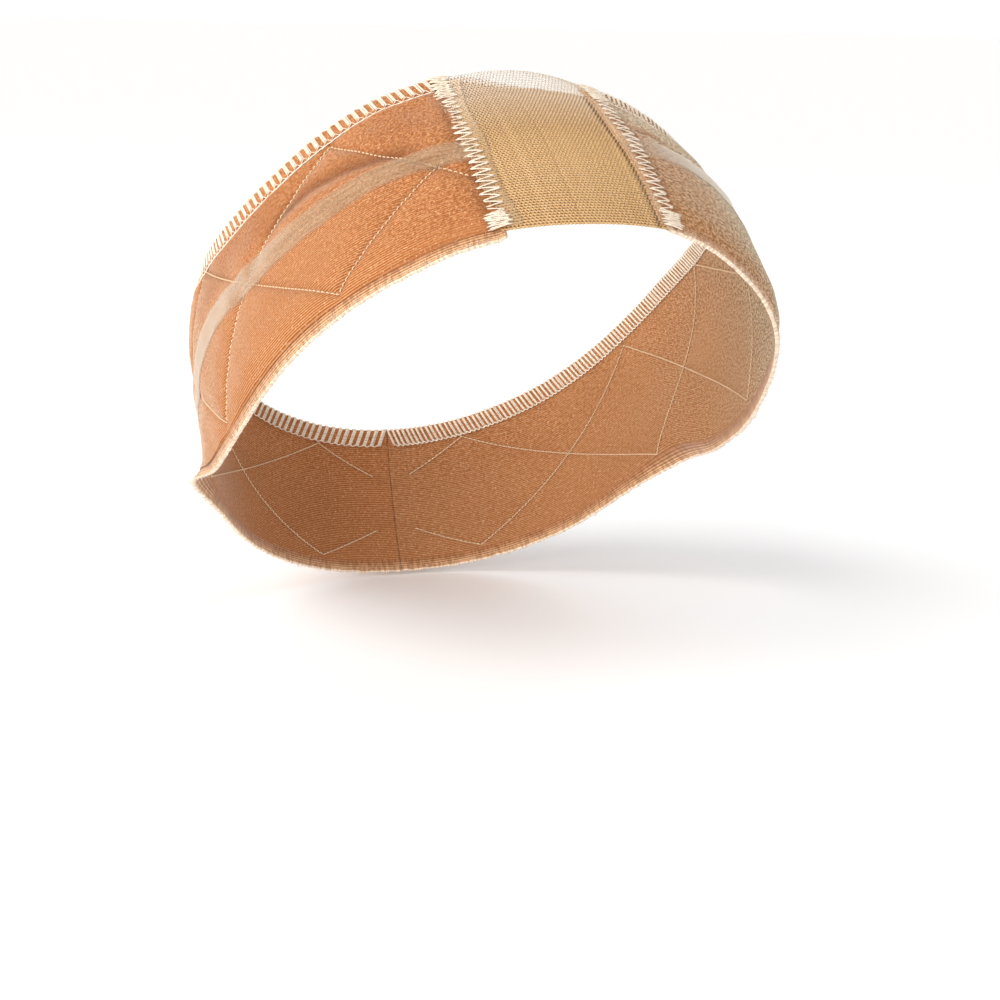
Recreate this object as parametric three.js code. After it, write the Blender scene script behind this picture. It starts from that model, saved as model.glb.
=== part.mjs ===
import * as THREE from 'three';

// Wig grip band: two velvet side bands, a net front panel, elastic edging, clear grip strips
// and a nape closure.
// Millimetres and degrees. The front faces -Y, the wearer's left is +X and +Z is up.
// The origin is the middle of the head at its widest level.

// Head form that the band is stretched over: depth and height differ front to back and top to bottom,
// the two powers square the plan and the profile off a little, and egg widens the back of the plan
const HEAD = {
  halfBreadth: 74.5, frontDepth: 96, backDepth: 98.5, crownHeight: 78, lowerDepth: 118.5,
  planPower: 2.2, profilePower: 2.06, egg: 0.04,
};

// The band is a belt about an axis that leans back, so that its front rides high and its back sits
// at the nape. A place on it has an angle round that axis, phi (0 front, 180 back), and a height
// along the axis, h.
const BELT = { tilt: 40, centreY: 8, centreZ: 4 };

// Lower and upper edge of the velvet bands, edging included, and how far the upper edge stands off the head
const EDGES = [
  { phi: 0, low: -24.0, up: 38.0, standOff: 2.2 },
  { phi: 12, low: -24.3, up: 37.0, standOff: 2.2 },
  { phi: 20, low: -25.4, up: 34.6, standOff: 2.2 },
  { phi: 29, low: -27.7, up: 33.0, standOff: 2.1 },
  { phi: 35, low: -28.9, up: 30.6, standOff: 2.1 },
  { phi: 42, low: -30.3, up: 27.5, standOff: 2.1 },
  { phi: 51, low: -31.8, up: 24.0, standOff: 2.1 },
  { phi: 60, low: -32.7, up: 22.4, standOff: 2.1 },
  { phi: 70, low: -33.0, up: 22.2, standOff: 1.9 },
  { phi: 80, low: -32.8, up: 24.5, standOff: 1.2 },
  { phi: 90, low: -31.5, up: 27.0, standOff: 0.6 },
  { phi: 103, low: -27.6, up: 29.2, standOff: 0.2 },
  { phi: 118, low: -19.4, up: 29.4, standOff: 0 },
  { phi: 132, low: -18.4, up: 28.0, standOff: 0 },
  { phi: 150, low: -20.2, up: 25.6, standOff: 0 },
  { phi: 180, low: -21.0, up: 23.0, standOff: 0 },
];
// Depth over which the upper edge leaves the head
const STAND_OFF_DEPTH = 12;
// The band is worn a little askew: near the front the left side sits higher than the right by twice
// the rise, and its upper edge is drawn closer to the head, to the given share of the stand-off
const ASKEW = { rise: 1.8, reach: 20, leftShare: 0.2 };

// Seams between the net panel and the two velvet bands
const SEAMS = [
  { h: -24, right: 11.9, left: 12.6 },
  { h: -12, right: 12.9, left: 11.9 },
  { h: 1, right: 13.8, left: 11.7 },
  { h: 15, right: 14.5, left: 12.5 },
  { h: 38, right: 14.8, left: 15.4 },
];

// Soft dents and swells of the cloth: centre, reach and lift of each, h counted from the named line.
// In order: hollow behind the temple, flare of the lower edge over the ear, slack lower edge at the temple,
// and a fold above the clear strip with the ridge below it.
const DENTS = [
  { from: 'middle', phi: 115, h: -7, phiReach: 20, hReach: 13, lift: -1.9 },
  { from: 'low', phi: 118, h: 0, phiReach: 11, hReach: 3.5, lift: 4.8 },
  { from: 'low', phi: 48, h: 6, phiReach: 14, hReach: 10, lift: 1.4 },
  { from: 'middle', phi: 38, h: 10.2, phiReach: 11, hReach: 3, lift: -1.1 },
  { from: 'middle', phi: 37, h: 5.2, phiReach: 12, hReach: 2.6, lift: 0.4 },
];

// Clear grip strips
const STRIPS = [
  { phi: 12, middle: 3.6, width: 7.4 },
  { phi: 21, middle: 3.1, width: 7.4 },
  { phi: 30, middle: 1.8, width: 7.4 },
  { phi: 40, middle: -0.6, width: 7.8 },
  { phi: 50, middle: -2.0, width: 8.6 },
  { phi: 62, middle: -2.2, width: 8.6 },
  { phi: 76, middle: -1.4, width: 8.6 },
  { phi: 95, middle: -2.6, width: 8.6 },
  { phi: 130, middle: 0, width: 8.6 },
  { phi: 168, middle: 1.0, width: 8.6 },
];

// Walls: inner and outer faces are distances out from the head form
const VELVET = { inner: 0, outer: 2, napeEnd: 179, columns: 40, rows: 14 };
const NET = { inner: 0.4, outer: 1.4, low: -23.4, columns: 10, rows: 14 };
const EDGING = { width: 3.3, inner: 0.1, outer: 2.3, rim: { inner: 0.7, outer: 1.4 }, columns: 40, rows: 4 };
const STRIP = { thickness: 0.6, end: 168, columns: 38, rows: 2 };
const CLOSURE = { halfSpan: 10.5, low: -15, up: 19, thickness: 1.5, columns: 8, rows: 6 };
// Gap between pieces that lie against each other, and each piece's share of the gap at a seam,
// the latter in degrees
const GAP = 0.35;
const SEAM_GAP = 0.11;
// Distances from the belt's axis between which the head's surface is searched
const SEARCH = { near: 10, far: 160, halvings: 40 };

const MATERIALS = {
  velvet: { color: 0xc98a5e, roughness: 0.95 },
  net: { color: 0xd9bb95, roughness: 0.9 },
  elastic: { color: 0xefd0ac, roughness: 0.85 },
  strip: { color: 0xcdb29c, roughness: 0.45 },
  tape: { color: 0xd8b893, roughness: 0.9 },
};

const tiltAngle = THREE.MathUtils.degToRad(BELT.tilt);
const beltCentre = new THREE.Vector3(0, BELT.centreY, BELT.centreZ);
const toSide = new THREE.Vector3(1, 0, 0);
const toFront = new THREE.Vector3(0, -Math.cos(tiltAngle), Math.sin(tiltAngle));
const toTop = new THREE.Vector3(0, Math.sin(tiltAngle), Math.cos(tiltAngle));

const lerp = THREE.MathUtils.lerp;
const bell = (distance, reach) => Math.exp(-((distance / reach) ** 2));

// Smooth curve through a table's rows: cubic pieces whose slopes come from the neighbouring rows
function curveThrough(rows, across, up) {
  const last = rows.length - 1;
  const slopeBetween = (i) => (rows[i + 1][up] - rows[i][up]) / (rows[i + 1][across] - rows[i][across]);
  const slopeAt = (i) => (i === 0 || i === last ? 0 : (slopeBetween(i - 1) + slopeBetween(i)) / 2);
  return (at) => {
    const clamped = THREE.MathUtils.clamp(at, rows[0][across], rows[last][across]);
    let i = 0;
    while (i < last - 1 && clamped > rows[i + 1][across]) i += 1;
    const step = rows[i + 1][across] - rows[i][across];
    const t = (clamped - rows[i][across]) / step;
    const rise = t * t * (3 - 2 * t);
    const leave = t * (1 - t) ** 2 * step * slopeAt(i);
    const arrive = t * t * (t - 1) * step * slopeAt(i + 1);
    return lerp(rows[i][up], rows[i + 1][up], rise) + leave + arrive;
  };
}

const lowCurve = curveThrough(EDGES, 'phi', 'low');
const upEdge = curveThrough(EDGES, 'phi', 'up');
const standOff = curveThrough(EDGES, 'phi', 'standOff');
const stripMiddle = curveThrough(STRIPS, 'phi', 'middle');
const stripWidth = curveThrough(STRIPS, 'phi', 'width');
const seamCurve = { right: curveThrough(SEAMS, 'h', 'right'), left: curveThrough(SEAMS, 'h', 'left') };
const signOf = { right: -1, left: 1 };

const askew = (phi, side) => signOf[side] * ASKEW.rise * bell(phi, ASKEW.reach);
const lowEdge = (phi, side) => lowCurve(phi) + askew(phi, side);

// 1 on the head form, less inside it and more outside
function headLevel(p) {
  const depth = p.y < 0 ? HEAD.frontDepth : HEAD.backDepth;
  const height = p.z > 0 ? HEAD.crownHeight : HEAD.lowerDepth;
  const breadth = HEAD.halfBreadth * (1 + (HEAD.egg * p.y) / depth);
  const plan = (Math.abs(p.x) / breadth) ** HEAD.planPower + (Math.abs(p.y) / depth) ** HEAD.planPower;
  const profile = (Math.abs(p.z) / height) ** HEAD.profilePower;
  return plan ** (HEAD.profilePower / HEAD.planPower) + profile;
}

function headNormal(p) {
  const step = 0.01;
  const slope = (axis) => {
    const ahead = p.clone();
    const behind = p.clone();
    ahead[axis] += step;
    behind[axis] -= step;
    return headLevel(ahead) - headLevel(behind);
  };
  return new THREE.Vector3(slope('x'), slope('y'), slope('z')).normalize();
}

// How far the cloth stands off the head form at a place
function liftAt(phi, h) {
  const around = Math.abs(phi);
  const lines = { middle: 0, low: lowCurve(around) };
  const nearEdge = Math.max(0, 1 - (upEdge(around) - h) / STAND_OFF_DEPTH);
  const share = lerp(1, ASKEW.leftShare, THREE.MathUtils.smoothstep(phi, -ASKEW.reach, ASKEW.reach));
  return DENTS.reduce((sum, dent) => {
    const above = h - lines[dent.from] - dent.h;
    return sum + dent.lift * bell(around - dent.phi, dent.phiReach) * bell(above, dent.hReach);
  }, share * standOff(around) * nearEdge ** 2);
}

// Point at a signed angle, a height and a distance out from the head form
function beltPoint(phi, h, out) {
  const turn = THREE.MathUtils.degToRad(phi);
  const axisPoint = beltCentre.clone().addScaledVector(toTop, h);
  const outward = toSide.clone().multiplyScalar(Math.sin(turn)).addScaledVector(toFront, Math.cos(turn));
  let { near, far } = SEARCH;
  for (let halving = 0; halving < SEARCH.halvings; halving += 1) {
    const middle = (near + far) / 2;
    if (headLevel(axisPoint.clone().addScaledVector(outward, middle)) < 1) near = middle;
    else far = middle;
  }
  const onHead = axisPoint.addScaledVector(outward, near);
  return onHead.clone().addScaledVector(headNormal(onHead), out + liftAt(phi, h));
}

// Closed wall over a grid: place(u, v) gives phi, h and the distances of the inner and outer faces
function wallGeometry(columns, rows, place) {
  const points = [];
  const faces = [];
  for (const face of ['outer', 'inner']) {
    for (let i = 0; i <= columns; i += 1) {
      for (let j = 0; j <= rows; j += 1) {
        const at = place(i / columns, j / rows);
        points.push(beltPoint(at.phi, at.h, at[face]));
      }
    }
  }
  const outer = (i, j) => i * (rows + 1) + j;
  const inner = (i, j) => outer(i, j) + (columns + 1) * (rows + 1);
  const quad = (a, b, c, d) => faces.push(a, b, c, a, c, d);
  for (let i = 0; i < columns; i += 1) {
    for (let j = 0; j < rows; j += 1) {
      quad(outer(i, j), outer(i + 1, j), outer(i + 1, j + 1), outer(i, j + 1));
      quad(inner(i, j), inner(i, j + 1), inner(i + 1, j + 1), inner(i + 1, j));
    }
    quad(inner(i, 0), inner(i + 1, 0), outer(i + 1, 0), outer(i, 0));
    quad(outer(i, rows), outer(i + 1, rows), inner(i + 1, rows), inner(i, rows));
  }
  for (let j = 0; j < rows; j += 1) {
    quad(outer(0, j), outer(0, j + 1), inner(0, j + 1), inner(0, j));
    quad(inner(columns, j), inner(columns, j + 1), outer(columns, j + 1), outer(columns, j));
  }
  const geometry = new THREE.BufferGeometry().setFromPoints(points);
  geometry.setIndex(faces);
  geometry.computeVertexNormals();
  return geometry;
}

const group = new THREE.Group();

function addPiece(name, look, geometry) {
  const mesh = new THREE.Mesh(geometry, new THREE.MeshStandardMaterial({ metalness: 0, ...look }));
  mesh.name = name;
  group.add(mesh);
}

// Angle and height on one side band: u runs from the seam to the nape end, and heightAt gives h from
// a first angle. The right side is walked from the nape to the seam, so that both sides turn the same
// way round the head.
function sidePlace(side, u, end, heightAt) {
  const run = side === 'left' ? u : 1 - u;
  const h = heightAt(lerp(seamCurve[side](0), end, run));
  const phi = lerp(seamCurve[side](h) + SEAM_GAP, end, run);
  return { phi: signOf[side] * phi, h };
}

function velvetBand(side) {
  return wallGeometry(VELVET.columns, VELVET.rows, (u, v) => {
    const heightAt = (phi) => lerp(lowEdge(phi, side) + EDGING.width, upEdge(phi), v);
    return { ...sidePlace(side, u, VELVET.napeEnd, heightAt), inner: VELVET.inner, outer: VELVET.outer };
  });
}

// The edging is rounded: both faces draw in to a thin rim at its two long sides
function edgeElastic(side) {
  return wallGeometry(EDGING.columns, EDGING.rows, (u, v) => {
    const heightAt = (phi) => lowEdge(phi, side) + v * (EDGING.width - GAP);
    const swell = Math.sin(Math.PI * v);
    const inner = lerp(EDGING.rim.inner, EDGING.inner, swell);
    const outer = lerp(EDGING.rim.outer, EDGING.outer, swell);
    return { ...sidePlace(side, u, VELVET.napeEnd, heightAt), inner, outer };
  });
}

function clearStrip(side) {
  const inner = VELVET.outer + GAP;
  return wallGeometry(STRIP.columns, STRIP.rows, (u, v) => {
    const heightAt = (phi) => stripMiddle(phi) + askew(phi, side) + (v - 0.5) * stripWidth(phi);
    return { ...sidePlace(side, u, STRIP.end, heightAt), inner, outer: inner + STRIP.thickness };
  });
}

function netPanel() {
  return wallGeometry(NET.columns, NET.rows, (u, v) => {
    const across = lerp(-seamCurve.right(0), seamCurve.left(0), u);
    const h = lerp(NET.low, upEdge(Math.abs(across)), v);
    const phi = lerp(SEAM_GAP - seamCurve.right(h), seamCurve.left(h) - SEAM_GAP, u);
    return { phi, h, inner: NET.inner, outer: NET.outer };
  });
}

// Plain tab that bridges the two band ends at the nape
function napeClosure() {
  const inner = VELVET.outer + GAP;
  return wallGeometry(CLOSURE.columns, CLOSURE.rows, (u, v) => {
    const phi = 180 + lerp(-CLOSURE.halfSpan, CLOSURE.halfSpan, u);
    return { phi, h: lerp(CLOSURE.low, CLOSURE.up, v), inner, outer: inner + CLOSURE.thickness };
  });
}

for (const side of ['right', 'left']) {
  addPiece(`velvet_band_${side}`, MATERIALS.velvet, velvetBand(side));
  addPiece(`edge_elastic_${side}`, MATERIALS.elastic, edgeElastic(side));
  addPiece(`clear_strip_${side}`, MATERIALS.strip, clearStrip(side));
}
addPiece('mesh_panel', MATERIALS.net, netPanel());
addPiece('back_closure', MATERIALS.tape, napeClosure());

export default group;
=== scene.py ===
import bpy
import numpy as np
from mathutils import Matrix, Vector


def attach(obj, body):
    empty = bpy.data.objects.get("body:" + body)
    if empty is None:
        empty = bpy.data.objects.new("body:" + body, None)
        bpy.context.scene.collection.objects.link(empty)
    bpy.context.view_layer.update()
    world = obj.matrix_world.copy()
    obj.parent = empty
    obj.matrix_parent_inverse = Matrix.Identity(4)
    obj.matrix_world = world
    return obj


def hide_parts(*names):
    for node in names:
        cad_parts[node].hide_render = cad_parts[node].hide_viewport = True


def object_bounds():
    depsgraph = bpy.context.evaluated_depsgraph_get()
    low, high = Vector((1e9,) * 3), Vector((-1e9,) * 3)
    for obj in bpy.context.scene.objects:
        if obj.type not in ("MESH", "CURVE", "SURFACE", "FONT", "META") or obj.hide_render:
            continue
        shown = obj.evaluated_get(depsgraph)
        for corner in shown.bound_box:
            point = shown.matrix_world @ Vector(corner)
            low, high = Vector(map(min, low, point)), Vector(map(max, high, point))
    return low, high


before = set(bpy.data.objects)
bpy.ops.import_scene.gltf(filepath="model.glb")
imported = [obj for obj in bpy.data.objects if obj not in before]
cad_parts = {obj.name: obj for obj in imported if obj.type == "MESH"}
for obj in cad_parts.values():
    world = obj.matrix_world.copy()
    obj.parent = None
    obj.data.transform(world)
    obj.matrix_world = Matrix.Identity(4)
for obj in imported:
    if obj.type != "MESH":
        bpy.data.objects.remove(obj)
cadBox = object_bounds()
scene = bpy.context.scene
print("frame loaded:", len(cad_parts), "solids")

mm = 0.001  # lengths below are millimetres and angles degrees; meshes are filled in metres
dice = np.random.default_rng(41)

# the head form that the band is stretched over, and the belt that leans back round it
head = {"halfBreadth": 74.5, "frontDepth": 96, "backDepth": 98.5, "crownHeight": 78,
        "lowerDepth": 118.5, "planPower": 2.2, "profilePower": 2.06, "egg": 0.04}
belt = {"tilt": 40, "centreY": 8, "centreZ": 4}
search = {"near": 10.0, "far": 160.0, "halvings": 28, "nudge": 0.01}

# lower and upper edge of the band by the angle round the belt, and how far the upper edge stands off
edgeTable = {
    "phi": [0, 12, 20, 29, 35, 42, 51, 60, 70, 80, 90, 103, 118, 132, 150, 180],
    "low": [-24.0, -24.3, -25.4, -27.7, -28.9, -30.3, -31.8, -32.7, -33.0, -32.8, -31.5, -27.6,
            -19.4, -18.4, -20.2, -21.0],
    "up": [38.0, 37.0, 34.6, 33.0, 30.6, 27.5, 24.0, 22.4, 22.2, 24.5, 27.0, 29.2, 29.4, 28.0, 25.6, 23.0],
    "standOff": [2.2, 2.2, 2.2, 2.1, 2.1, 2.1, 2.1, 2.1, 1.9, 1.2, 0.6, 0.2, 0, 0, 0, 0]}
standOffDepth = 12
velvetRise = 0.45  # the velvet's edge stands a little above the line of the table
askewWear = {"rise": 1.8, "reach": 20, "leftShare": 0.2}
# the elastic draws the lower edge down in front, and less so between the two angles of the fade
edgePull = {"right": 0.15, "left": 0.25, "fade": (75, 110)}
seamTable = {"h": [-24, -12, 1, 15, 38], "right": [11.9, 12.9, 13.8, 14.5, 14.8],
             "left": [12.6, 11.9, 11.7, 12.5, 15.4]}
seamAngle = 14.0  # both seams, roughly
stripTable = {"phi": [12, 21, 30, 40, 50, 62, 76, 95, 130, 168],
              "middle": [3.6, 3.1, 1.8, -0.6, -2.0, -2.2, -1.4, -2.6, 0, 1.0],
              "width": [7.4, 7.4, 7.4, 7.8, 8.6, 8.6, 8.6, 8.6, 8.6, 8.6]}
# soft dents and swells: line that h counts from, phi, h, reach along, reach up, lift
dents = [("middle", 115, -7, 20, 13, -1.9), ("low", 118, 0, 11, 3.5, 4.8), ("low", 48, 6, 14, 10, 1.4),
         ("middle", 38, 10.2, 11, 3.4, -0.8), ("middle", 37, 5.2, 12, 3, 0.25)]

signs = {"right": -1, "left": 1}
toSide = np.array([1.0, 0, 0])
tiltSin, tiltCos = np.sin(np.radians(belt["tilt"])), np.cos(np.radians(belt["tilt"]))
toFront = np.array([0, -tiltCos, tiltSin])
toTop = np.array([0, tiltSin, tiltCos])
beltCentre = np.array([0, belt["centreY"], belt["centreZ"]])


def bell(distance, reach):
    return np.exp(-(distance / reach) ** 2)


def smoothStep(low, high, x):
    t = np.clip((x - low) / (high - low), 0, 1)
    return t * t * (3 - 2 * t)


# bell of a height and a reach
def bulge(shape, distance):
    height, reach = shape
    return height * bell(distance, reach)


# 1 from the end of the first fade to the start of the second, 0 outside both
def between(fadeIn, fadeOut, x):
    return smoothStep(*fadeIn, x) * (1 - smoothStep(*fadeOut, x))


def mix(a, b, t):
    return a + (b - a) * t


# smooth curve through a table: cubic pieces whose slopes are the mean of the neighbouring slopes
def curveThrough(table, across, up):
    x, y = np.array(table[across], float), np.array(table[up], float)
    step = np.diff(x)
    rise = np.diff(y) / step
    slope = np.zeros_like(x)
    slope[1:-1] = (rise[1:] + rise[:-1]) / 2

    def at(value):
        value = np.clip(value, x[0], x[-1])
        i = np.clip(np.searchsorted(x, value, side="right") - 1, 0, len(x) - 2)
        t = (value - x[i]) / step[i]
        bend = t * (1 - t) ** 2 * slope[i] + t * t * (t - 1) * slope[i + 1]
        return mix(y[i], y[i + 1], t * t * (3 - 2 * t)) + bend * step[i]
    return at


lowCurve = curveThrough(edgeTable, "phi", "low")
upEdge = curveThrough(edgeTable, "phi", "up")
standOff = curveThrough(edgeTable, "phi", "standOff")
stripMiddle = curveThrough(stripTable, "phi", "middle")
stripWidth = curveThrough(stripTable, "phi", "width")
seamAt = {side: curveThrough(seamTable, "h", side) for side in signs}


def askew(around, side):
    return signs[side] * askewWear["rise"] * bell(around, askewWear["reach"])


def lowEdge(around, side):
    pulled = edgePull[side] * (1 - smoothStep(*edgePull["fade"], around))
    return lowCurve(around) + askew(around, side) - pulled


def topEdge(around):
    return upEdge(around) + velvetRise


# 1 on the head form, less inside: plan and height powers added together
def headLevel(points):
    x, y, z = np.moveaxis(points, -1, 0)
    depth = np.where(y < 0, head["frontDepth"], head["backDepth"])
    height = np.where(z > 0, head["crownHeight"], head["lowerDepth"])
    breadth = head["halfBreadth"] * (1 + head["egg"] * y / depth)
    plan = (np.abs(x) / breadth) ** head["planPower"] + (np.abs(y) / depth) ** head["planPower"]
    profile = (np.abs(z) / height) ** head["profilePower"]
    return plan ** (head["profilePower"] / head["planPower"]) + profile


# foot of a place on the head form, by halving the distance from the belt's axis, and the normal there
def onHead(phi, h):
    phi, h = np.broadcast_arrays(np.asarray(phi, float), np.asarray(h, float))
    turn = np.radians(phi)[..., None]
    axisPoint = beltCentre + h[..., None] * toTop
    outward = np.sin(turn) * toSide + np.cos(turn) * toFront
    near, far = np.full(phi.shape, search["near"]), np.full(phi.shape, search["far"])
    for halving in range(search["halvings"]):
        middle = (near + far) / 2
        inside = headLevel(axisPoint + middle[..., None] * outward) < 1
        near, far = np.where(inside, middle, near), np.where(inside, far, middle)
    foot = axisPoint + near[..., None] * outward
    nudge = search["nudge"] * np.eye(3)
    normal = np.stack([headLevel(foot + n) - headLevel(foot - n) for n in nudge], -1)
    return foot, normal / np.linalg.norm(normal, axis=-1, keepdims=True)


# how far the cloth stands off the head: the raised upper edge plus the dents and swells
def liftAt(phi, h):
    around = np.abs(phi)
    lines = {"middle": 0, "low": lowCurve(around)}
    nearEdge = np.maximum(0, 1 - (upEdge(around) - h) / standOffDepth)
    share = mix(1, askewWear["leftShare"], smoothStep(-askewWear["reach"], askewWear["reach"], phi))
    lift = share * standOff(around) * nearEdge ** 2
    for line, atPhi, atH, phiReach, hReach, rise in dents:
        lift = lift + rise * bell(around - atPhi, phiReach) * bell(h - lines[line] - atH, hReach)
    return lift


def beltPoint(phi, h, out):
    foot, normal = onHead(phi, h)
    return foot + normal * (out + liftAt(phi, h))[..., None]


# direction along the band at an angle
def alongAt(phi):
    turn = np.radians(phi)[..., None]
    return np.cos(turn) * toSide - np.sin(turn) * toFront


# length from the first point of a line to each of its points
def lengthAlong(line, stretch=1):
    return np.concatenate([[0], np.cumsum(np.linalg.norm(np.diff(line, axis=0), axis=1) / stretch)])


# even paces along a line on one side: angle of each, and degrees to the millimetre there
def paces(side, heightOf, start, end, pitch, samples=900):
    around = np.linspace(start, end, samples)
    length = lengthAlong(beltPoint(signs[side] * around, heightOf(around), velvet["outer"]))
    stops = np.arange(pitch / 2, length[-1], pitch)
    rate = np.gradient(around) / np.gradient(length)
    return np.interp(stops, length, around), np.interp(stops, length, rate)


# puts a form, that is points, four-cornered faces and a map, into a new piece that rides on the one body
def addPiece(name, form, material, hollow=None):
    points, faces, uv = form
    mesh = bpy.data.meshes.new(name)
    mesh.vertices.add(len(points))
    mesh.vertices.foreach_set("co", (points * mm).astype(np.float32).ravel())
    mesh.loops.add(faces.size)
    mesh.loops.foreach_set("vertex_index", faces.astype(np.int32).ravel())
    mesh.polygons.add(len(faces))
    mesh.polygons.foreach_set("loop_start", np.arange(0, faces.size, 4, dtype=np.int32))
    mesh.update(calc_edges=True)
    layer = mesh.uv_layers.new(name="cloth")
    layer.uv.foreach_set("vector", uv[faces.ravel()].astype(np.float32).ravel())
    # hollow is painted shade for each point
    if hollow is not None:
        depth = mesh.attributes.new("hollow", "FLOAT", "POINT")
        depth.data.foreach_set("value", hollow.ravel().astype(np.float32))
    mesh.shade_smooth()
    mesh.materials.append(material)
    piece = bpy.data.objects.new(name, mesh)
    scene.collection.objects.link(piece)
    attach(piece, "root")
    print(name, len(faces), "faces")
    return piece


def quads(a, b, c, d):
    return np.stack([a, b, c, d], -1).reshape(-1, 4)


# closed wall over grids of phi and h: an outer and an inner sheet joined round their four sides
def wall(phi, h, outer, inner, uv):
    foot, normal = onHead(phi, h)
    lift = liftAt(phi, h)
    sheets = [foot + normal * (out + lift)[..., None] for out in (outer, inner)]
    front = np.arange(phi.size).reshape(phi.shape)
    back = front + phi.size
    faces = np.concatenate([
        quads(front[:-1, :-1], front[1:, :-1], front[1:, 1:], front[:-1, 1:]),
        quads(back[:-1, :-1], back[:-1, 1:], back[1:, 1:], back[1:, :-1]),
        quads(back[:-1, 0], back[1:, 0], front[1:, 0], front[:-1, 0]),
        quads(front[:-1, -1], front[1:, -1], back[1:, -1], back[:-1, -1]),
        quads(front[0, :-1], front[0, 1:], back[0, 1:], back[0, :-1]),
        quads(back[-1, :-1], back[-1, 1:], front[-1, 1:], front[-1, :-1])])
    points = np.concatenate([sheet.reshape(-1, 3) for sheet in sheets])
    return points, faces, np.tile(uv.reshape(-1, 2), (2, 1))


# round threads along paths: rings of side points in the plane across each path, capped at both ends
def threads(paths, across, radius, sides=6, flat=1.0):
    count, length = paths.shape[:2]
    tangent = np.gradient(paths, axis=1)
    tangent /= np.linalg.norm(tangent, axis=-1, keepdims=True) + 1e-9
    across = across - (across * tangent).sum(-1, keepdims=True) * tangent
    across = across / (np.linalg.norm(across, axis=-1, keepdims=True) + 1e-9)
    upward = np.cross(across, tangent)
    angle = np.linspace(0, 2 * np.pi, sides, endpoint=False)[:, None]
    radius = np.broadcast_to(radius, (count, length))[..., None, None]
    ring = flat * np.cos(angle) * upward[:, :, None] + np.sin(angle) * across[:, :, None]
    points = paths[:, :, None] + radius * ring
    index = np.arange(count * length * sides).reshape(count, length, sides)
    turned = np.roll(index, -1, axis=2)
    faces = [quads(index[:, :-1], turned[:, :-1], turned[:, 1:], index[:, 1:])]
    for cap in (index[:, 0, ::-1], index[:, -1]):
        faces += [quads(cap[:, 0], cap[:, k], cap[:, k + 1], cap[:, k + 2]) for k in range(1, sides - 2, 2)]
    run = np.cumsum(np.linalg.norm(np.diff(paths, axis=1, prepend=paths[:, :1]), axis=-1), axis=1)
    uv = np.stack(np.broadcast_arrays(run[..., None], np.arange(sides) / sides), -1)
    return points.reshape(-1, 3), np.concatenate(faces), uv.reshape(-1, 2)


# threads laid on the band: each row of phi, h and out is one path
def laidThreads(phi, h, out, radius, sides=6, flat=1.0):
    foot, normal = onHead(phi, h)
    paths = foot + normal * (out + liftAt(phi, h))[..., None]
    across = np.cross(np.gradient(paths, axis=1), normal)
    return threads(paths, across, radius, sides, flat)


def joined(parts):
    starts = np.cumsum([0] + [len(points) for points, faces, uv in parts[:-1]])
    points = np.concatenate([part[0] for part in parts])
    faces = np.concatenate([part[1] + start for part, start in zip(parts, starts)])
    return points, faces, np.concatenate([part[2] for part in parts])


# grid of phi and h on one side, phi rising so that faces point outwards: runs go from seam to nape
def sideGrid(side, columns, climbs, end, lowOf, upOf):
    runs = np.linspace(0, 1, columns)
    run = (runs if side == "left" else runs[::-1])[:, None]
    guess = mix(seamAt[side](0), end, run)
    h = mix(lowOf(guess), upOf(guess), climbs[None, :])
    around = mix(seamAt[side](h), end, run)
    return signs[side] * around, h, around


# evenly spaced shares from 0 to 1, drawn closer together towards both ends
def closerAtEnds(count, pull):
    t = np.linspace(0, 1, count)
    return t - pull * np.sin(2 * np.pi * t) / (2 * np.pi)


# quarter round towards an edge: 0 at the edge, 1 from the rim inwards
def rounded(distance, rim):
    t = np.clip(distance / rim, 0, 1)
    return np.sqrt(1 - (1 - t) ** 2)


print("form ready")


# materials: small helpers, then groups that several finishes share
def addNode(tree, kind, settings=None, **inputs):
    node = tree.nodes.new(kind)
    for name, value in (settings or {}).items():
        setattr(node, name, value)
    for name, value in inputs.items():
        socket = node.inputs[int(name[1:])] if name[0] == "i" and name[1:].isdigit() else node.inputs[name]
        if isinstance(value, bpy.types.NodeSocket):
            tree.links.new(value, socket)
        else:
            socket.default_value = value
    return node


def arithmetic(tree, operation, a, b, clamp=False):
    settings = {"operation": operation, "use_clamp": clamp}
    return addNode(tree, "ShaderNodeMath", settings, i0=a, i1=b).outputs[0]


def noise(tree, vector, scale, detail):
    return addNode(tree, "ShaderNodeTexNoise", Vector=vector, Scale=scale, Detail=detail).outputs[0]


def axes(tree, vector):
    return addNode(tree, "ShaderNodeSeparateXYZ", i0=vector).outputs


def clothMap(tree):
    return addNode(tree, "ShaderNodeUVMap", {"uv_map": "cloth"}).outputs[0]


def objectPlace(tree):
    return addNode(tree, "ShaderNodeTexCoord").outputs["Object"]


# painted shade: the share kept in each piece's hollow attribute
def paintedShadeMask(tree):
    return addNode(tree, "ShaderNodeAttribute", {"attribute_name": "hollow"}).outputs["Fac"]


# how far the surface turns away from the eye, for painted sheen and painted glare
def paintedSheenFacing(tree):
    return addNode(tree, "ShaderNodeLayerWeight", Blend=0.5).outputs["Facing"]


def newGroup(name, inputs, output):
    tree = bpy.data.node_groups.new(name, "ShaderNodeTree")
    for socket, kind, value in inputs:
        made = tree.interface.new_socket(socket, in_out="INPUT", socket_type=kind)
        if value is not None:
            made.default_value = value
    tree.interface.new_socket(output, in_out="OUTPUT", socket_type="NodeSocketFloat")
    return tree, tree.nodes.new("NodeGroupInput").outputs, tree.nodes.new("NodeGroupOutput").inputs


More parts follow.
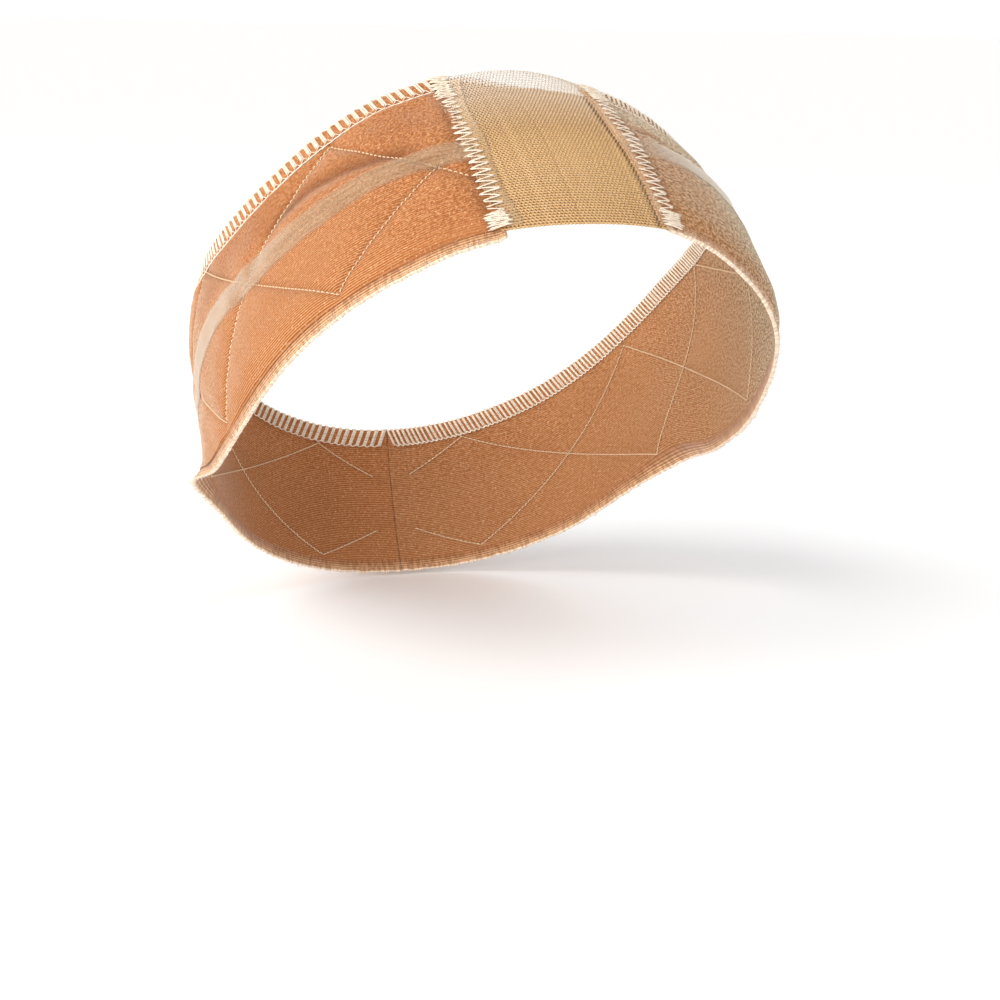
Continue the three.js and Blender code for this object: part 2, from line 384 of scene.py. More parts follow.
# speckle of fibre ends: two sizes of noise added, then stretched about their middle to a mask
def fibreSpeckle():
    tree, given, result = newGroup("fibreSpeckle", [
        ("Vector", "NodeSocketVector", None), ("Scale", "NodeSocketFloat", 200.0),
        ("Contrast", "NodeSocketFloat", 1.0)], "Mask")
    fine = noise(tree, given["Vector"], given["Scale"], 2.0)
    coarse = noise(tree, given["Vector"], arithmetic(tree, "MULTIPLY", given["Scale"], 0.55), 2.0)
    centred = arithmetic(tree, "SUBTRACT", arithmetic(tree, "ADD", fine, coarse), 1.0)
    strong = arithmetic(tree, "MULTIPLY", centred, given["Contrast"])
    tree.links.new(arithmetic(tree, "ADD", strong, 0.5, clamp=True), result["Mask"])
    return tree


# twist of a spun thread: slanting ridges, two to a turn, from the length and the place round the thread
def yarnTwist():
    tree, given, result = newGroup("yarnTwist", [
        ("Vector", "NodeSocketVector", None), ("Pitch", "NodeSocketFloat", 0.9)], "Height")
    along, aroundThread = axes(tree, given["Vector"])[:2]
    slant = arithmetic(tree, "ADD", arithmetic(tree, "DIVIDE", along, given["Pitch"]), aroundThread)
    phase = arithmetic(tree, "MULTIPLY", slant, 4 * np.pi)
    ridge = addNode(tree, "ShaderNodeMath", {"operation": "SINE"}, i0=phase)
    tree.links.new(ridge.outputs[0], result["Height"])
    return tree


speckleGroup = fibreSpeckle()
twistGroup = yarnTwist()


def newMaterial(name, **constants):
    material = bpy.data.materials.new(name)
    material.use_nodes = True
    shader = material.node_tree.nodes["Principled BSDF"]
    for socket, value in constants.items():
        shader.inputs[socket.replace("_", " ")].default_value = value
    return material, material.node_tree, shader


def ramp(tree, factor, *stops):
    node = addNode(tree, "ShaderNodeValToRGB", Fac=factor)
    elements = node.color_ramp.elements
    while len(elements) < len(stops):
        elements.new(0.5)
    for element, (place, colour) in zip(elements, stops):
        element.position = place
        element.color = (*colour, 1)
    return node.outputs[0]


def greyRamp(tree, factor, *stops):
    return ramp(tree, factor, *((place, (tone,) * 3) for place, tone in stops))


def speckle(tree, vector, scale, contrast):
    return addNode(tree, "ShaderNodeGroup", {"node_tree": speckleGroup},
                   Vector=vector, Scale=scale, Contrast=contrast).outputs["Mask"]


def relief(tree, shader, height, strength, distance):
    bump = addNode(tree, "ShaderNodeBump", Height=height, Strength=strength, Distance=distance * mm)
    tree.links.new(bump.outputs[0], shader.inputs["Normal"])


def blendColours(tree, factor, a, b, kind="MIX"):
    node = addNode(tree, "ShaderNodeMix", {"data_type": "RGBA", "blend_type": kind})
    for socket, value in ((node.inputs[0], factor), (node.inputs[6], a), (node.inputs[7], b)):
        if isinstance(value, bpy.types.NodeSocket):
            tree.links.new(value, socket)
        elif isinstance(value, (int, float)):
            socket.default_value = value
        else:
            socket.default_value = (*value, 1)
    return node.outputs[2]


velvetLook = {"deep": (0.27, 0.092, 0.030), "mid": (0.385, 0.144, 0.050), "light": (0.52, 0.240, 0.103),
              "fleck": (0.80, 0.53, 0.33), "shadow": (0.15, 0.046, 0.015), "pileScale": 2.4,
              "pileContrast": 2.8, "fleckScale": 1.2, "fleckContrast": 2.4, "sheenTipContrast": 4.0,
              "driftScale": 0.08, "coursePitch": 0.58, "sheen": 0.4, "sheenRoughness": 0.25,
              "sheenTint": (1.0, 0.92, 0.84, 1)}
# what each pattern adds to the tone
velvetWeights = {"pile": 0.6, "drift": 0.4, "base": 0.3, "courses": 1.2}
# shares by place: up the band from its lower edge, and along it from the middle of the front
velvetFades = {"height": 50.0, "length": 100.0, "sheenLength": 220.0, "calm": ((0.08, 0.3), (0.2, 1)),
               "lowDown": ((0.05, 0.6), (0.09, 1), (0.45, 1), (1.0, 0.25)),
               "awayFromSeam": ((0.24, 0.25), (0.48, 1)), "sheenAtNape": 0.25}
# painted sheen of the pile tips: tones, grain, and how much shows as the cloth turns away; the left band's
# copy shows more of it, painted for the light on that side
velvetPaintedSheen = {"right": {"shade": (0.25, 0.120, 0.052), "light": (0.80, 0.60, 0.43), "scale": 2.0,
                        "showing": ((0.55, 0.0), (0.82, 0.26), (1.0, 0.75)), "fade": (0.55, 0.9)},
              "left": {"shade": (0.115, 0.062, 0.021), "light": (0.75, 0.59, 0.37), "scale": 2.7,
                       "showing": ((0.38, 0.3), (0.66, 0.48), (0.82, 0.85), (1.0, 0.97)),
                       "fade": (0.26, 0.6)}}


def velvetMaterial(side):
    look, weights, fades, tip = velvetLook, velvetWeights, velvetFades, velvetPaintedSheen[side]
    material, tree, shader = newMaterial(
        f"warmVelvet_{side}", Roughness=0.9, Specular_IOR_Level=0.1, Sheen_Weight=look["sheen"],
        Sheen_Roughness=look["sheenRoughness"], Sheen_Tint=look["sheenTint"])
    cloth = clothMap(tree)
    along, above = axes(tree, cloth)[:2]
    upShare = arithmetic(tree, "DIVIDE", above, fades["height"])
    # pile about a middle of 0, pressed flat beside the elastic
    pile = arithmetic(tree, "SUBTRACT", speckle(tree, cloth, look["pileScale"], look["pileContrast"]), 0.5)
    pile = arithmetic(tree, "MULTIPLY", pile, greyRamp(tree, upShare, *fades["calm"]))
    drift = noise(tree, cloth, look["driftScale"], 5.0)
    # knit courses along the band, plainest low down and away from the seam where the cloth is stretched
    courses = addNode(tree, "ShaderNodeTexWave", {"bands_direction": "Y"}, Vector=cloth,
                      Scale=np.pi / 10 / look["coursePitch"], Distortion=0.5, Detail=2.0).outputs[1]
    outShare = arithmetic(tree, "DIVIDE", along, fades["length"])
    stretched = arithmetic(tree, "MULTIPLY", greyRamp(tree, upShare, *fades["lowDown"]),
                           greyRamp(tree, outShare, *fades["awayFromSeam"]))
    lines = arithmetic(tree, "MULTIPLY", arithmetic(tree, "SUBTRACT", courses, 0.5), stretched)
    shade = arithmetic(tree, "ADD", arithmetic(tree, "MULTIPLY", pile, weights["pile"]),
                       arithmetic(tree, "MULTIPLY", drift, weights["drift"]))
    shade = arithmetic(tree, "ADD", shade, weights["base"])
    shade = arithmetic(tree, "ADD", shade, arithmetic(tree, "MULTIPLY", lines, weights["courses"]))
    ground = ramp(tree, shade, (0.2, look["deep"]), (0.5, look["mid"]), (0.85, look["light"]))
    ends = speckle(tree, cloth, look["pileScale"] * look["fleckScale"], look["fleckContrast"])
    lit = blendColours(tree, greyRamp(tree, ends, (0.86, 0), (1.0, 0.4)), ground, look["fleck"])
    # painted sheen: pale pile tips painted into the colour where the cloth turns away from the eye, fewer
    # towards the nape
    rearShare = arithmetic(tree, "DIVIDE", along, fades["sheenLength"])
    forward = greyRamp(tree, rearShare, (tip["fade"][0], 1), (tip["fade"][1], fades["sheenAtNape"]))
    turned = arithmetic(tree, "MULTIPLY", greyRamp(tree, paintedSheenFacing(tree), *tip["showing"]), forward)
    tips = speckle(tree, cloth, tip["scale"], look["sheenTipContrast"])
    lit = blendColours(tree, turned, lit, ramp(tree, tips, (0.15, tip["shade"]), (0.85, tip["light"])))
    # painted shade: darker towards the shadow tone by the hollow attribute
    tree.links.new(blendColours(tree, paintedShadeMask(tree), lit, look["shadow"]), shader.inputs["Base Color"])
    relief(tree, shader, arithmetic(tree, "ADD", lines, pile), 0.5, 0.25)
    return material


# rear: where on the head form, in metres, a paler tone comes in as painted light towards the rear, and how
# much of it
threadLook = {"pitch": 0.9, "fleckScale": 2.2, "fleckContrast": 2.0,
              "rear": {"From Min": -0.052, "From Max": -0.024, "To Max": 0.8}}


def threadMaterial(name, shade, bright, sheen=0.25, shadow=None, rear=None):
    material, tree, shader = newMaterial(name, Roughness=0.7, Sheen_Weight=sheen, Specular_IOR_Level=0.25)
    spun = clothMap(tree)
    flecks = speckle(tree, spun, threadLook["fleckScale"], threadLook["fleckContrast"])
    colour = ramp(tree, flecks, (0.15, shade), (0.8, bright))
    # painted light: paler towards the rear of the head form
    if rear:
        depth = axes(tree, objectPlace(tree))[1]
        share = addNode(tree, "ShaderNodeMapRange", Value=depth, **threadLook["rear"])
        colour = blendColours(tree, share.outputs[0], colour, rear)
    # painted shade: darker towards the shadow tone by the hollow attribute
    if shadow:
        colour = blendColours(tree, paintedShadeMask(tree), colour, shadow)
    tree.links.new(colour, shader.inputs["Base Color"])
    twist = addNode(tree, "ShaderNodeGroup", {"node_tree": twistGroup},
                    Vector=spun, Pitch=threadLook["pitch"])
    relief(tree, shader, twist.outputs["Height"], 0.4, 0.06)
    return material


# one velvet copy a side: they differ in their painted sheen
velvetFinish = {side: velvetMaterial(side) for side in signs}
creamThread = threadMaterial("creamThread", (0.73, 0.565, 0.42), (0.97, 0.88, 0.75))
goldThread = threadMaterial("goldThread", (0.62, 0.40, 0.22), (0.94, 0.73, 0.50))
# net thread with painted shade on the strands' sides and a paler painted-light tone towards the rear
netThread = threadMaterial("netThread", (0.60, 0.36, 0.155), (0.82, 0.545, 0.275), 0.08,
                           shadow=(0.11, 0.044, 0.012), rear=(0.82, 0.67, 0.54))
# painted shade: a dark thread for the openings of the net
shadeStrandThread = threadMaterial("shadeStrandThread", (0.22, 0.098, 0.030), (0.38, 0.185, 0.066))
# painted light: the same net thread in a paler tone where it stands free, lit from behind
looseThread = threadMaterial("looseThread", (0.57, 0.48, 0.385), (0.78, 0.67, 0.55), 0.2)
# the same folded net at both seams, in two tones by how light falls on each side: the left one painted
# paler, the right one with the paler painted-light tone towards the rear
hemThread = {"right": threadMaterial("hemThread", (0.43, 0.265, 0.125), (0.60, 0.39, 0.205), 0.4,
                                     rear=(0.76, 0.60, 0.44)),
             "left": threadMaterial("hemThreadPaler", (0.46, 0.27, 0.14), (0.72, 0.47, 0.28), 0.4)}

# elastic: cream on its ribs and peach between them, by the place across the edging; the peach between the
# ribs is darkened with painted shade
elasticTonesAndShade = ((0.0, (0.86, 0.72, 0.58)), (0.10, (0.84, 0.69, 0.54)), (0.16, (0.40, 0.20, 0.095)),
                (0.235, (0.66, 0.42, 0.24)), (0.285, (0.29, 0.120, 0.048)), (0.34, (0.74, 0.49, 0.29)),
                (0.43, (0.26, 0.103, 0.040)), (0.51, (0.64, 0.39, 0.21)), (0.60, (0.25, 0.096, 0.037)),
                (0.69, (0.54, 0.30, 0.15)), (0.78, (0.25, 0.092, 0.034)), (0.86, (0.44, 0.21, 0.095)),
                (1.0, (0.34, 0.128, 0.047)))
elasticLook = {"fleckScale": 2.0, "fleckContrast": 2.2, "dim": (0.74, 0.65, 0.57),
               "bright": (1.1, 1.09, 1.07)}


def elasticMaterial():
    look = elasticLook
    material, tree, shader = newMaterial("ribbedElastic", Roughness=0.8, Sheen_Weight=0.3,
                                         Specular_IOR_Level=0.2)
    cloth = clothMap(tree)
    ribs = ramp(tree, axes(tree, cloth)[1], *elasticTonesAndShade)
    flecks = speckle(tree, cloth, look["fleckScale"], look["fleckContrast"])
    warm = ramp(tree, flecks, (0.2, look["dim"]), (0.75, look["bright"]))
    tree.links.new(blendColours(tree, 1.0, ribs, warm, "MULTIPLY"), shader.inputs["Base Color"])
    relief(tree, shader, flecks, 0.5, 0.12)
    return material


# frosted clear tape: half see-through, milky, with fine scratches along it; its map runs 0 to 1 across
tapeLook = {"mapWidth": 8.0, "drawnOut": 0.1, "clear": 0.07, "milky": 0.36, "dark": (0.33, 0.18, 0.085),
            "pale": (0.69, 0.46, 0.275), "glare": (0.87, 0.78, 0.62), "sheenTint": (1.0, 0.95, 0.86, 1),
            "bySeam": ((0.0, 1), (0.44, 0.35), (0.64, 1)), "seamScale": 20.0,
            "glareShowing": ((0.5, 0), (0.8, 0.55), (1.0, 0.85))}


def tapeMaterial():
    look = tapeLook
    material, tree, shader = newMaterial("frostedTape", Roughness=0.42, Specular_IOR_Level=0.5,
                                         Sheen_Weight=0.85, Sheen_Roughness=0.35,
                                         Sheen_Tint=look["sheenTint"])
    cloth = clothMap(tree)
    even, drawn = (addNode(tree, "ShaderNodeMapping", i0=cloth,
                           Scale=(along, look["mapWidth"], 1.0)).outputs[0]
                   for along in (1.0, look["drawnOut"]))
    frost = speckle(tree, even, 2.6, 1.8)
    scratches = speckle(tree, drawn, 1.6, 1.2)
    body = greyRamp(tree, axes(tree, cloth)[1], (0.0, look["clear"]), (0.15, look["milky"]),
                    (0.87, look["milky"]), (1.0, look["clear"]))
    # clearest beside the left seam, where the film lies close on the pile
    aside = arithmetic(tree, "MULTIPLY", axes(tree, objectPlace(tree))[0], look["seamScale"])
    bySeam = greyRamp(tree, aside, *look["bySeam"])
    tree.links.new(arithmetic(tree, "MULTIPLY", body, bySeam), shader.inputs["Alpha"])
    both = arithmetic(tree, "MULTIPLY", arithmetic(tree, "ADD", frost, scratches), 0.5)
    film = ramp(tree, both, (0.25, look["dark"]), (0.75, look["pale"]))
    # painted glare: the film's colour turns pale where it turns away from the eye
    glare = greyRamp(tree, paintedSheenFacing(tree), *look["glareShowing"])
    tree.links.new(blendColours(tree, glare, film, look["glare"]), shader.inputs["Base Color"])
    tree.links.new(greyRamp(tree, scratches, (0.2, 0.32), (0.8, 0.5)), shader.inputs["Roughness"])
    relief(tree, shader, both, 0.25, 0.05)
    return material


closureLook = {"loopScale": 1.3, "dim": (0.42, 0.22, 0.10), "bright": (0.66, 0.40, 0.22)}


def closureMaterial():
    look = closureLook
    material, tree, shader = newMaterial("loopTape", Roughness=0.9, Sheen_Weight=0.3,
                                         Specular_IOR_Level=0.2)
    cloth = clothMap(tree)
    loops = addNode(tree, "ShaderNodeTexVoronoi", Vector=cloth, Scale=look["loopScale"]).outputs["Distance"]
    flecks = speckle(tree, cloth, 2.0, 2.2)
    colour = ramp(tree, flecks, (0.2, look["dim"]), (0.8, look["bright"]))
    tree.links.new(colour, shader.inputs["Base Color"])
    relief(tree, shader, arithmetic(tree, "ADD", loops, flecks), 0.7, 0.3)
    return material


elasticFinish = elasticMaterial()
tapeFinish = tapeMaterial()
closureFinish = closureMaterial()
print("finishes ready")

# seam stitching: zigzag legs across each seam, packed close as bartacks at both ends
# a bartack is its length, pitch and share of the width; a run is its shift along and its lift
seamStitch = {"width": {"right": 4.15, "left": 4.1}, "pitch": 2.15, "rearStretch": 1.4,
              "stretchFrom": (-12, 26), "radius": 0.13, "pointsPerLeg": 7, "lowDrop": 0.3,
              "topDrop": {"right": 1.1, "left": 2.0}, "out": 1.65, "arch": 0.3, "tipSharpness": 0.985,
              "runs": ((0, 0.1), (0.1, 0.02)), "jitter": 0.13,
              "frontBartack": (4.3, 0.95, 1.2), "rearBartack": (9.3, 1.3, 1.4),
              "tackRuns": ((0.1, 0.3), (0.45, 0.42)), "tackJitter": 0.2}
# degrees from the seam to the middle of the stitches, by height
stitchTable = {"h": [-24, -19, -15, -11, -4, 3, 8, 12, 16, 24, 30, 38],
               "right": [0.65, 0.75, 0.5, 0.1, 0.0, 0.03, 0.14, 0.4, 0.6, 0.35, 0.8, 0.8],
               "left": [1.15, 1.55, 1.42, 1.34, 1.45, 1.55, 1.6, 1.05, 0.97, 1.07, 1.1, 1.1]}
stitchMiddle = {side: curveThrough(stitchTable, "h", side) for side in signs}


# angle of the middle of the seam stitches at a height
def stitchLine(side, h):
    return seamAt[side](h) + stitchMiddle[side](h)


# velvet bands; a dip is its depth and reach
velvet = {"inner": 0.1, "outer": 2.0, "edge": 1.0, "edgeWall": 0.1, "napeEnd": 179.97, "columns": 410,
          "rows": 88, "closeRows": 0.75, "tuck": 3.1, "rim": 1.1, "settle": 0.15, "overlockDip": 0.3,
          "needleDip": (0.3, 0.7), "seamDip": (0.5, 2.6), "lowDip": (0.6, 3.0), "degreeLength": 1.32,
          "grain": {"right": 0.88, "left": 0.68}}
ripples = ((0.10, 0.31, 0.22, 0), (0.07, 0.83, -0.35, 1.3))  # height, waves along and up, phase
# the left band's upper edge stands up in front, above a hollow
leftFront = {"from": (10, 16), "to": (36, 52), "stand": (0.4, 3), "hollow": (1.3, 5), "hollowBelow": 8}
# darker places: share and reach of each, and how far from the stitches it lies
shadows = {"fold": 0.68, "overlock": (0.4, 0.7), "overlockGap": 0.3, "seam": (0.45, 1.3), "seamGap": 1.6,
           "quilting": (0.3, 0.9), "insideShare": 0.3, "most": 0.85}
# darker high up, away from the seam: share, angles, heights and depth below the edge
darkerHighUp = {"right": 0.2, "left": 0.0, "from": (42, 52), "to": (80, 100), "above": (3, 9),
               "below": (4, 7)}
# quilting: vertices of two zigzag lines that cross; one starts low and the other high
quilt = {"phi": ([-3.5, 38.6, 85.2, 123.1, 165.3, 207.5], [-3.5, 38.6, 80.8, 123.1, 165.3, 207.5]),
         "top": [29.8, 23.0, 21.5, 23.2, 19.0, 17.0],
         "bottom": [-28.4, -24.9, -27.4, -14.2, -16.0, -16.0], "dip": 0.6, "reach": 0.8,
         "puff": 0.5, "puffReach": 4.5, "squareness": 0.77, "leftFrom": 62, "leftFade": (8, 4)}
# overlock: bars of several strands, a needle thread, ties between them, and threads on the edge and inside
overlock = {"pitch": {"right": 2.5, "left": 1.6}, "depth": 4.7, "backDepth": 4.2, "lean": 2.1,
            "strandGap": 0.3, "radius": {"right": 0.16, "left": 0.22}, "needleRadius": 0.19,
            "tie": 1.15, "tieTop": 1.15, "tieRadius": 0.12, "tieSharpness": 0.97, "calmFrom": (0.5, 1.5),
            "strands": {"right": (-1.5, -0.5, 0.5, 1.5), "left": (-0.6, 0.6)},
            "rise": 0.2, "crown": 0.04, "backOut": -0.1, "uneven": 0.05, "unevenOut": 0.04,
            "faceSteps": 7, "backSteps": 4, "turnStart": 0.3, "turnMiddle": 0.25, "turnRise": 1.0,
            "seamHeight": 30, "fromSeam": 1.2, "end": 179.0, "stepsPerBar": 8,
            "needle": {"drop": 0.1, "wave": 0.14, "rise": 0.22}, "edgeOut": 1.6, "edgeDrop": -0.1,
            "insideOut": -0.15, "edgeWave": 0.2}


# the left band is not quilted near its seam
def quiltedAt(side, around):
    if side == "right":
        return 1.0 + 0 * around
    before, after = quilt["leftFade"]
    return smoothStep(quilt["leftFrom"] - before, quilt["leftFrom"] + after, around)


def quiltLine(around, first):
    odd = np.arange(len(quilt["top"])) % 2 == first
    return np.interp(around, quilt["phi"][first], np.where(odd, quilt["top"], quilt["bottom"]))


# distances to the two quilting lines
def quiltGaps(around, h):
    return [np.abs(h - quiltLine(around, first)) * quilt["squareness"] for first in (0, 1)]


# creases: lines of phi and h on one side, depth, and reach above and below the line
creases = {"right": ([19, 22, 26.3, 30.3, 34, 38.1, 42, 45.8, 48.8, 58],
                     [5.6, 6.5, 7.9, 9.0, 9.7, 10.2, 10.1, 9.1, 7.6, 4.0], 0.15, 3.2, 1.6),
           "left": ([14, 17, 19.3, 22.4, 26, 30.2, 33.3, 37, 40],
                    [11.8, 11.5, 10.5, 8.8, 7.5, 6.3, 3.1, 1.5, 1.0], 0.6, 0.9, 0.5)}
creaseFade = 2


def creaseAt(side, around, h):
    phi, line, depth, above, below = creases[side]
    inside = between((phi[0], phi[2]), (phi[-2] - creaseFade, phi[-1]), around)
    gap = h - np.interp(around, phi, line)
    return depth * inside * bell(gap, np.where(gap > 0, above, below))


# outer face of the velvet: quilted hollows and puffs, pressed in at the overlock and the seam
def velvetFace(side, around, h):
    gaps = quiltGaps(around, h)
    dips = sum(bell(gap, quilt["reach"]) for gap in gaps)
    puff = 1 - bell(np.minimum(*gaps), quilt["puffReach"])
    below = upEdge(around) - h
    before, after = overlock["calmFrom"]
    calm = smoothStep(overlock["depth"] - before, overlock["depth"] + after, below)
    fromSeam = (around - seamAt[side](h)) * velvet["degreeLength"]
    ripple = sum(height * np.sin(along * around + up * h + phase) for height, along, up, phase in ripples)
    sewn = quiltedAt(side, around) * (quilt["puff"] * puff - quilt["dip"] * dips)
    face = velvet["outer"] - velvet["settle"] + calm * (sewn + ripple)
    if side == "left":
        front = between(leftFront["from"], leftFront["to"], around)
        sunk = bulge(leftFront["hollow"], below - leftFront["hollowBelow"])
        face = face + front * (bulge(leftFront["stand"], below) - sunk)
    face = face - velvet["overlockDip"] * (1 - calm)
    face = face - bulge(velvet["needleDip"], below - overlock["depth"])
    face = face - bulge(velvet["lowDip"], h - lowEdge(around, side) - velvet["tuck"])
    return face - bulge(velvet["seamDip"], fromSeam) - creaseAt(side, around, h)


# painted shade: how dark a place is painted, in a crease, along the quilting and beside the stitched edges,
# and darker high up away from the seam
def paintedShadeAt(side, around, h):
    below = upEdge(around) - h
    fromSeam = (around - seamAt[side](h) - stitchMiddle[side](h)) * velvet["degreeLength"]
    fold = shadows["fold"] * creaseAt(side, around, h) / creases[side][2]
    seams = bulge(shadows["overlock"], below - overlock["depth"] - shadows["overlockGap"])
    seams = seams + bulge(shadows["seam"], fromSeam - shadows["seamGap"])
    share, reach = shadows["quilting"]
    sewn = share * quiltedAt(side, around) * sum(bell(gap, reach) for gap in quiltGaps(around, h))
    # darker towards the shadow tone high up, away from the seam
    away = between(darkerHighUp["from"], darkerHighUp["to"], around)
    darkHighUp = darkerHighUp[side] * away * smoothStep(*darkerHighUp["above"], h)
    darkHighUp = darkHighUp * smoothStep(*darkerHighUp["below"], below)
    return np.clip(fold + sewn + seams + darkHighUp, 0, shadows["most"])


def makeVelvet(side):
    climbs = closerAtEnds(velvet["rows"], velvet["closeRows"])
    phi, h, around = sideGrid(side, velvet["columns"], climbs, velvet["napeEnd"],
                              lambda a: lowEdge(a, side) + velvet["tuck"], topEdge)
    low = lowEdge(around, side) + velvet["tuck"]
    fromSeam = (around - seamAt[side](h)) * velvet["degreeLength"]
    full = np.minimum(rounded(topEdge(around) - h, velvet["rim"]), rounded(h - low, velvet["rim"]))
    full = np.minimum(full, rounded(fromSeam, velvet["rim"]))
    outer = mix(velvet["edge"], velvetFace(side, around, h), full)
    inner = mix(velvet["edge"] - velvet["edgeWall"], velvet["inner"], full)
    along = around * velvet["degreeLength"] * velvet["grain"][side]
    uv = np.stack([along, h - lowEdge(around, side)], -1)
    # painted shade for each point, a share of it on the inner sheet
    hollow = paintedShadeAt(side, around, h)
    piece = addPiece(f"velvet_{side}", wall(phi, h, outer, inner, uv), velvetFinish[side],
                     np.concatenate([hollow, shadows["insideShare"] * hollow]))
    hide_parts(f"velvet_band_{side}")
    return piece


velvetPieces = {side: makeVelvet(side) for side in signs}

# elastic edging: ribs across its width as bells of height on a rounded section
edging = {"width": 4.0, "inner": 0.1, "rim": 0.35, "rimWall": 0.05, "round": 0.4, "swell": 0.65,
          "flatter": 0.4, "flatterFrom": (0.6, 0.9), "columns": 560, "rows": 28, "napeEnd": 179.97,
          "ragged": 0.13, "raggedPitch": 0.5, "raggedMost": 1.5, "raggedReach": 0.3, "raggedOut": 0.5,
          "length": 260, "endLift": 0.9, "endReach": 1.3}
# place across the width, reach and height of each rib
edgingRibs = [(0.06, 0.06, 0.22), (0.235, 0.035, 0.16), (0.34, 0.045, 0.26), (0.51, 0.045, 0.26),
              (0.69, 0.045, 0.22)]


def makeEdging(side):
    climbs = np.linspace(0, 1, edging["rows"])
    phi, h, around = sideGrid(side, edging["columns"], climbs, edging["napeEnd"],
                              lambda a: lowEdge(a, side), lambda a: lowEdge(a, side) + edging["width"])
    along = around * velvet["degreeLength"]
    stops = np.arange(0, edging["length"], edging["raggedPitch"])
    most = edging["raggedMost"]
    uneven = np.interp(along, stops, np.clip(dice.normal(0, 1, len(stops)), -most, most))
    ragged = edging["ragged"] * uneven * bell(climbs, edging["raggedReach"])
    fromSeam = (around - seamAt[side](h)) * velvet["degreeLength"]
    corner = edging["endLift"] * bell(fromSeam, edging["endReach"]) * (1 - climbs)
    full = np.minimum(rounded(climbs * edging["width"], edging["round"]),
                      rounded(fromSeam, edging["round"]))
    ribs = sum(height * bell(climbs - centre, reach) for centre, reach, height in edgingRibs)
    swell = edging["swell"] * (1 - edging["flatter"] * smoothStep(*edging["flatterFrom"], climbs))
    outer = mix(edging["rim"], edging["rim"] + swell + ribs, full) + edging["raggedOut"] * ragged
    inner = mix(edging["rim"] - edging["rimWall"], edging["inner"], full)
    uv = np.stack([along, np.broadcast_to(climbs, along.shape)], -1)
    piece = addPiece(f"edging_{side}", wall(phi, h - ragged + corner, outer, inner, uv), elasticFinish)
    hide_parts(f"edge_elastic_{side}")
    return piece


edgingPieces = {side: makeEdging(side) for side in signs}

# clear grip strips: thin film that rests on the velvet and bridges its hollows
strip = {"lift": 0.1, "thickness": 0.14, "bridge": 1.75, "end": 168, "columns": 420, "rows": 14}


def stripLine(around, side, share):
    return stripMiddle(around) + askew(around, side) + (share - 0.5) * stripWidth(around)


def makeStrip(side):
    climbs = np.linspace(0, 1, strip["rows"])
    phi, h, around = sideGrid(side, strip["columns"], climbs, strip["end"],
                              lambda a: stripLine(a, side, 0), lambda a: stripLine(a, side, 1))
    film = np.maximum(velvetFace(side, around, h), strip["bridge"]) + strip["lift"]
    uv = np.stack([around * velvet["degreeLength"], climbs + 0 * h], -1)
    piece = addPiece(f"grip_strip_{side}", wall(phi, h, film + strip["thickness"], film, uv), tapeFinish)
    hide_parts(f"clear_strip_{side}")
    return piece


stripPieces = {side: makeStrip(side) for side in signs}

# net: waving threads across the panel; neighbours wave against each other and meet at their crests
net = {"low": -22.8, "rowPitch": 0.79, "openTop": 1.5, "openFrom": (4, 30), "waves": 45, "out": 0.9,
       "radius": 0.35, "flat": 0.9, "tuck": 0.9, "pointsPerWave": 4, "crest": 0.17, "sway": 0.15,
       "crossing": 0.06, "flare": 1.5, "flareDepth": 12, "flareAlong": (4, 14), "fade": 0.22,
       "looseRadius": 0.13, "looseThinner": 0.5, "looseCrest": 0.46}
# painted shade: radius, height, flatness, points and shortening of the dark threads under the openings
netShadeStrands = {"radius": 0.3, "out": 0.7, "flat": 0.6, "points": 36, "short": 0.06}
netHem = {"share": {"right": 0.118, "left": 0.088}, "narrow": {"right": 1.0, "left": 0.62},
          "widenFrom": (-6, 20), "topRows": {"right": 3, "left": 6}, "out": 1.25, "thicker": 1.15,
          "edgeWave": (0.1, 0.21), "edgeUneven": 0.025, "rumple": (0.1, 0.5, 5), "rumpleUneven": 0.02}
# wider openings in a column beside the left hem, with deeper painted shade on their strands
openColumn = {"share": 0.986, "reach": 0.013, "fade": (22, 32), "thinner": 0.12, "deep": 0.9}
# painted shade on the strands' sides: towards the rear it deepens
netShade = {"rearFrom": (-6, 14), "front": 0.28, "deepen": 0.5, "most": 0.92}
# share of the panel where each row leaves the head form, by its depth below the loose edge
looseTable = {"below": [0, 0.7, 1.6, 3.6, 5.5, 7, 8, 8.4, 10.5],
              "share": [0.02, 0.09, 0.19, 0.29, 0.39, 0.49, 0.7, 1, 1.3]}


def netPhi(share, h):
    return mix(-seamAt["right"](h) - net["tuck"], seamAt["left"](h) + net["tuck"], share)


# heights of the rows up the middle of the panel, further apart towards the loose edge
def netRows():
    climb = np.linspace(net["low"], upEdge(0), 600)
    pitch = net["rowPitch"] * mix(1, net["openTop"], smoothStep(*net["openFrom"], climb[1:]))
    rows = lengthAlong(beltPoint(0 * climb, climb, net["out"]), pitch)
    return np.interp(np.arange(int(rows[-1]) + 1), rows, climb)[:, None]


# rows follow the upper edge down towards the seams, the upper ones most
def netSag(phi, rowH):
    return (upEdge(np.abs(phi)) - upEdge(0)) * (rowH - net["low"]) / (upEdge(0) - net["low"])


def looseFrom(rowH):
    return np.interp(upEdge(0) - rowH, looseTable["below"], looseTable["share"])


# share of the panel that each hem takes up, by height
def hemReach(side, rowH):
    return netHem["share"][side] * mix(netHem["narrow"][side], 1, smoothStep(*netHem["widenFrom"], rowH))


